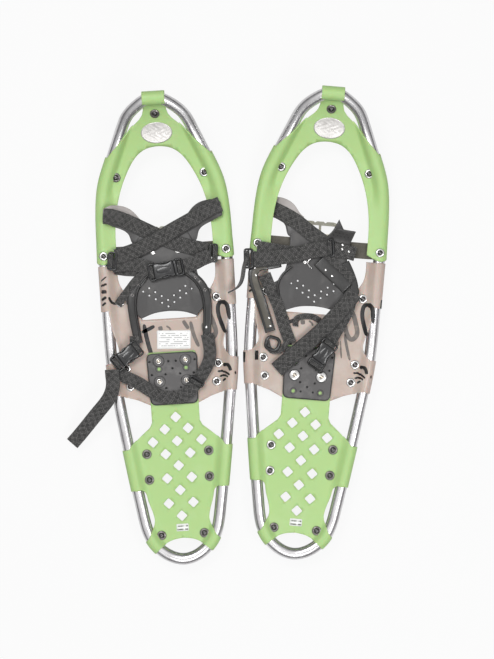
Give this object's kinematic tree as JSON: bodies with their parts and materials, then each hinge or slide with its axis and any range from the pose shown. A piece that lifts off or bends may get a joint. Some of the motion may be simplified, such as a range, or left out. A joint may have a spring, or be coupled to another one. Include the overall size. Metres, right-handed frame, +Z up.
{
  "type": "pair of snowshoes",
  "caption": "Pair of snowshoes: bent aluminium tube frames, sheet decks wrapped to the tube, pivoting strap bindings and toothed crampons.",
  "frame": {"origin": "on the ground under the middle of the pair's bounding box, the left shoe's loose strap tail included", "axes": "+Y towards the toes, +X from the left shoe to the right shoe, +Z up"},
  "size_m": [0.523, 0.7714, 0.114],
  "materials": {
    "tube": "drawn satin",
    "green_deck": "fine leather grain",
    "tan_deck": "translucent film with printed strokes",
    "rivet": "gunmetal",
    "washer": "bright",
    "heel_plate": "moulded",
    "heel_rivet": "bright",
    "crampon": "zinc plated",
    "badge": "blank foil",
    "label": "blank",
    "pivot_webbing": "woven",
    "harness": "flexible polyurethane",
    "webbing": "woven with raised diamonds",
    "buckle": "acetal"
  },
  "bodies": {
    "left_frame": {"left_frame_tube": "tube", "left_toe_deck": "green_deck", "left_mid_deck": "tan_deck", "left_tail_deck": "green_deck", "left_deck_rivets": "rivet", "left_rivet_washers": "washer", "left_heel_plate": "heel_plate", "left_heel_rivets": "heel_rivet", "left_heel_crampon": "crampon", "left_toe_badge": "badge", "left_size_label": "label", "left_pivot_strap_ends": "pivot_webbing", "left_deck_label": "label"},
    "left_binding": {"left_pivot_strap_centre": "pivot_webbing", "left_binding_sole": "harness", "left_front_crampon": "crampon", "left_binding_rivets": "heel_rivet", "left_heel_arms": "harness", "left_upper_toe_strap": "webbing", "left_lower_toe_strap": "webbing", "left_instep_strap": "webbing", "left_toe_buckle_socket": "buckle"},
    "left_outer_flap": {"left_outer_toe_flap": "harness", "left_outer_strap_lock": "buckle"},
    "left_inner_flap": {"left_inner_toe_flap": "harness", "left_inner_strap_lock": "buckle"},
    "left_toe_clip": {"left_toe_buckle_clip": "buckle"},
    "left_heel_band": {"left_heel_strap": "webbing", "left_heel_strap_slide": "buckle", "left_heel_buckle_socket": "buckle"},
    "left_heel_clip": {"left_heel_buckle_clip": "buckle"},
    "right_frame": {"right_frame_tube": "tube", "right_toe_deck": "green_deck", "right_mid_deck": "tan_deck", "right_tail_deck": "green_deck", "right_deck_rivets": "rivet", "right_rivet_washers": "washer", "right_heel_plate": "heel_plate", "right_heel_rivets": "heel_rivet", "right_heel_crampon": "crampon", "right_toe_badge": "badge", "right_size_label": "label", "right_pivot_strap_ends": "pivot_webbing"},
    "right_binding": {"right_pivot_strap_centre": "pivot_webbing", "right_binding_sole": "harness", "right_front_crampon": "crampon", "right_binding_rivets": "heel_rivet", "right_heel_arms": "harness", "right_upper_toe_strap": "webbing", "right_lower_toe_strap": "webbing", "right_toe_strap_tail": "webbing", "right_instep_strap": "webbing", "right_strap_locks": "buckle", "right_inner_toe_flap": "harness", "right_heel_d_loop": "buckle"},
    "right_outer_flap": {"right_outer_toe_flap": "harness"},
    "right_heel_band": {"right_heel_strap": "webbing", "right_heel_buckle_socket": "buckle"},
    "right_heel_clip": {"right_heel_buckle_clip": "buckle"}
  },
  "joints": [
    {"name": "right_shoe_apart", "type": "slide", "parent": "left_frame", "child": "right_frame", "axis": [1, 0, 0], "range_m": [0, 0.3]},
    {"name": "left_heel_lift", "type": "hinge", "parent": "left_frame", "child": "left_binding", "pos_m": [-0.10338, 0.12345, 0.031], "axis": [-0.9973, -0.0732, 0], "range_deg": [0, 60], "deforming": ["left_upper_toe_strap", "left_lower_toe_strap", "left_instep_strap"]},
    {"name": "left_inner_flap_fold", "type": "hinge", "parent": "left_binding", "child": "left_inner_flap", "pos_m": [-0.0658, 0.1578, 0.0345], "axis": [0.5688, -0.8225, 0], "range_deg": [0, 78]},
    {"name": "left_outer_flap_fold", "type": "hinge", "parent": "left_binding", "child": "left_outer_flap", "pos_m": [-0.14558, 0.15194, 0.0345], "axis": [0.4425, 0.8968, 0], "range_deg": [0, 78]},
    {"name": "left_toe_clip_release", "type": "slide", "parent": "left_binding", "child": "left_toe_clip", "axis": [0.9783, 0.2073, 0], "range_m": [0, 0.025]},
    {"name": "left_heel_strap_swing", "type": "hinge", "parent": "left_binding", "child": "left_heel_band", "pos_m": [-0.09295, -0.01867, 0.042], "axis": [-0.9973, -0.0732, 0], "range_deg": [0, 70], "deforming": ["left_heel_strap"]},
    {"name": "left_heel_clip_release", "type": "slide", "parent": "left_heel_band", "child": "left_heel_clip", "axis": [-0.7787, -0.6163, 0.1174], "range_m": [0, 0.025]},
    {"name": "right_heel_lift", "type": "hinge", "parent": "right_frame", "child": "right_binding", "pos_m": [0.14658, 0.13345, 0.031], "axis": [-0.9973, 0.0732, 0], "range_deg": [0, 60], "deforming": ["right_upper_toe_strap", "right_lower_toe_strap", "right_toe_strap_tail", "right_instep_strap"]},
    {"name": "right_flap_fold", "type": "hinge", "parent": "right_binding", "child": "right_outer_flap", "pos_m": [0.18299, 0.1567, 0.0382], "axis": [0.7803, -0.6254, 0], "range_deg": [-8, 20], "stiffness_Nm_per_rad": 0.3},
    {"name": "right_heel_strap_swing", "type": "hinge", "parent": "right_binding", "child": "right_heel_band", "pos_m": [0.13615, -0.00867, 0.042], "axis": [-0.9973, 0.0732, 0], "range_deg": [0, 70], "deforming": ["right_heel_strap"]},
    {"name": "right_heel_clip_release", "type": "slide", "parent": "right_heel_band", "child": "right_heel_clip", "axis": [-0.5603, -0.8283, 0], "range_m": [0, 0.025]}
  ],
  "couplings": [
    {"joint": "left_inner_flap_fold", "follows": "left_heel_lift", "ratio": 1.3},
    {"joint": "left_outer_flap_fold", "follows": "left_heel_lift", "ratio": 1.3}
  ]
}
